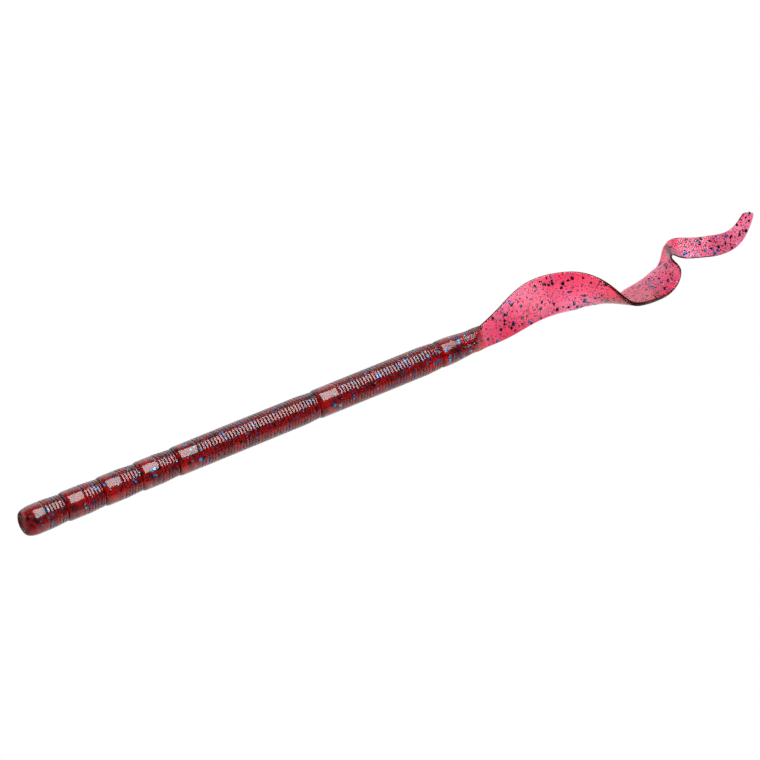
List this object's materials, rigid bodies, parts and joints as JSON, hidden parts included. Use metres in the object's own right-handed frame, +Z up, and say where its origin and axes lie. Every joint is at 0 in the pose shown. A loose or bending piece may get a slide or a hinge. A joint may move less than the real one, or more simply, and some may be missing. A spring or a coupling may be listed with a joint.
{
  "type": "ribbon-tail soft plastic fishing worm",
  "caption": "Long round grooved soft plastic worm with a flat nose and a wavy ribbon tail, jointed along its length so that it bends.",
  "frame": {"origin": "centre of the flat end of the nose, where the hook or a screw-in weight goes in", "axes": "+X along the body from nose to tail; +Z up, away from the surface that the worm lies on; +Y to the left when looking along +X"},
  "size_m": [0.2547, 0.018, 0.0156],
  "materials": {
    "body_plastic": "glossy translucent dark red soft plastic with blue and black flakes",
    "collar_plastic": "glossy translucent red soft plastic with blue and black flakes",
    "tail_plastic": "glossy translucent pink-red soft plastic with blue and black flakes",
    "blue_flake": "shiny metallic blue film flakes",
    "black_flake": "shiny black film flakes"
  },
  "bodies": {
    "nose": {"nose": "body_plastic"},
    "front_segment_1": {"front_segment_1": "body_plastic"},
    "front_segment_2": {"front_segment_2": "body_plastic"},
    "front_segment_3": {"front_segment_3": "body_plastic"},
    "middle_segment_1": {"middle_segment_1": "body_plastic"},
    "middle_segment_2": {"middle_segment_2": "body_plastic"},
    "middle_segment_3": {"middle_segment_3": "body_plastic"},
    "middle_segment_4": {"middle_segment_4": "body_plastic"},
    "rear_segment_1": {"rear_segment_1": "body_plastic"},
    "rear_segment_2": {"rear_segment_2": "body_plastic"},
    "rear_segment_3": {"rear_segment_3": "body_plastic"},
    "rear_segment_4": {"rear_segment_4": "body_plastic"},
    "collar": {"collar": "collar_plastic"},
    "tail_section_1": {"tail_section_1": "tail_plastic"},
    "tail_section_2": {"tail_section_2": "tail_plastic"},
    "tail_section_3": {"tail_section_3": "tail_plastic"},
    "tail_section_4": {"tail_section_4": "tail_plastic"},
    "tail_section_5": {"tail_section_5": "tail_plastic"},
    "tail_section_6": {"tail_section_6": "tail_plastic"},
    "tail_section_7": {"tail_section_7": "tail_plastic"},
    "tail_section_8": {"tail_section_8": "tail_plastic"}
  },
  "joints": [
    {"name": "bend_side_front_segment_1", "type": "hinge", "parent": "nose", "child": "front_segment_1", "pos_m": [0.01503, 0, 0], "axis": [0, 0, 1], "range_deg": [-25, 25], "stiffness_Nm_per_rad": 0.15},
    {"name": "bend_up_front_segment_2", "type": "hinge", "parent": "front_segment_1", "child": "front_segment_2", "pos_m": [0.02683, 0, 0], "axis": [0, -1, 0], "range_deg": [-25, 25], "stiffness_Nm_per_rad": 0.15},
    {"name": "bend_side_front_segment_3", "type": "hinge", "parent": "front_segment_2", "child": "front_segment_3", "pos_m": [0.03863, 0, 0], "axis": [0, 0, 1], "range_deg": [-25, 25], "stiffness_Nm_per_rad": 0.15},
    {"name": "bend_up_middle_segment_1", "type": "hinge", "parent": "front_segment_3", "child": "middle_segment_1", "pos_m": [0.05043, 0, 0], "axis": [0, -1, 0], "range_deg": [-25, 25], "stiffness_Nm_per_rad": 0.15},
    {"name": "bend_side_middle_segment_2", "type": "hinge", "parent": "middle_segment_1", "child": "middle_segment_2", "pos_m": [0.06223, 0, 0], "axis": [0, 0, 1], "range_deg": [-25, 25], "stiffness_Nm_per_rad": 0.15},
    {"name": "bend_up_middle_segment_3", "type": "hinge", "parent": "middle_segment_2", "child": "middle_segment_3", "pos_m": [0.07393, 0, 0], "axis": [0, -1, 0], "range_deg": [-25, 25], "stiffness_Nm_per_rad": 0.15},
    {"name": "bend_side_middle_segment_4", "type": "hinge", "parent": "middle_segment_3", "child": "middle_segment_4", "pos_m": [0.08563, 0, 0], "axis": [0, 0, 1], "range_deg": [-25, 25], "stiffness_Nm_per_rad": 0.15},
    {"name": "bend_up_rear_segment_1", "type": "hinge", "parent": "middle_segment_4", "child": "rear_segment_1", "pos_m": [0.09723, 0, 0], "axis": [0, -1, 0], "range_deg": [-25, 25], "stiffness_Nm_per_rad": 0.15},
    {"name": "bend_side_rear_segment_2", "type": "hinge", "parent": "rear_segment_1", "child": "rear_segment_2", "pos_m": [0.10781, 0, 0], "axis": [0, 0, 1], "range_deg": [-25, 25], "stiffness_Nm_per_rad": 0.15},
    {"name": "bend_up_rear_segment_3", "type": "hinge", "parent": "rear_segment_2", "child": "rear_segment_3", "pos_m": [0.11828, 0, 0], "axis": [0, -1, 0], "range_deg": [-25, 25], "stiffness_Nm_per_rad": 0.15},
    {"name": "bend_side_rear_segment_4", "type": "hinge", "parent": "rear_segment_3", "child": "rear_segment_4", "pos_m": [0.12876, 0, 0], "axis": [0, 0, 1], "range_deg": [-25, 25], "stiffness_Nm_per_rad": 0.15},
    {"name": "bend_up_collar", "type": "hinge", "parent": "rear_segment_4", "child": "collar", "pos_m": [0.13804, 0, 0], "axis": [0, -1, 0], "range_deg": [-15, 15], "stiffness_Nm_per_rad": 0.15},
    {"name": "bend_tail_1", "type": "hinge", "parent": "collar", "child": "tail_section_1", "pos_m": [0.153, 0, 0], "axis": [0.1355, -0.1914, -0.9721], "range_deg": [-25, 25], "stiffness_Nm_per_rad": 0.02},
    {"name": "bend_tail_2", "type": "hinge", "parent": "tail_section_1", "child": "tail_section_2", "pos_m": [0.16844, 0.00151, 0.00313], "axis": [0.2628, -0.3704, -0.8909], "range_deg": [-25, 25], "stiffness_Nm_per_rad": 0.01},
    {"name": "bend_tail_3", "type": "hinge", "parent": "tail_section_2", "child": "tail_section_3", "pos_m": [0.1829, -0.00141, 0.00515], "axis": [-0.0681, -0.2433, -0.9676], "range_deg": [-25, 25], "stiffness_Nm_per_rad": 0.008},
    {"name": "bend_tail_4", "type": "hinge", "parent": "tail_section_3", "child": "tail_section_4", "pos_m": [0.19626, -0.00754, -0.00035], "axis": [-0.1209, 0.8566, -0.5017], "range_deg": [-25, 25], "stiffness_Nm_per_rad": 0.006},
    {"name": "bend_tail_5", "type": "hinge", "parent": "tail_section_4", "child": "tail_section_5", "pos_m": [0.2094, -0.00544, -0.00318], "axis": [-0.2232, 0.9747, -0.0135], "range_deg": [-25, 25], "stiffness_Nm_per_rad": 0.005},
    {"name": "bend_tail_6", "type": "hinge", "parent": "tail_section_5", "child": "tail_section_6", "pos_m": [0.22125, -0.00064, -0.00082], "axis": [-0.058, 0.8765, -0.4779], "range_deg": [-25, 25], "stiffness_Nm_per_rad": 0.004},
    {"name": "bend_tail_7", "type": "hinge", "parent": "tail_section_6", "child": "tail_section_7", "pos_m": [0.22489, -0.0004, 0.00376], "axis": [0.4064, 0.8948, 0.1847], "range_deg": [-25, 25], "stiffness_Nm_per_rad": 0.003},
    {"name": "bend_tail_8", "type": "hinge", "parent": "tail_section_7", "child": "tail_section_8", "pos_m": [0.23945, -0.0024, 0.00068], "axis": [0.0749, 0.7372, 0.6716], "range_deg": [-25, 25], "stiffness_Nm_per_rad": 0.002}
  ]
}
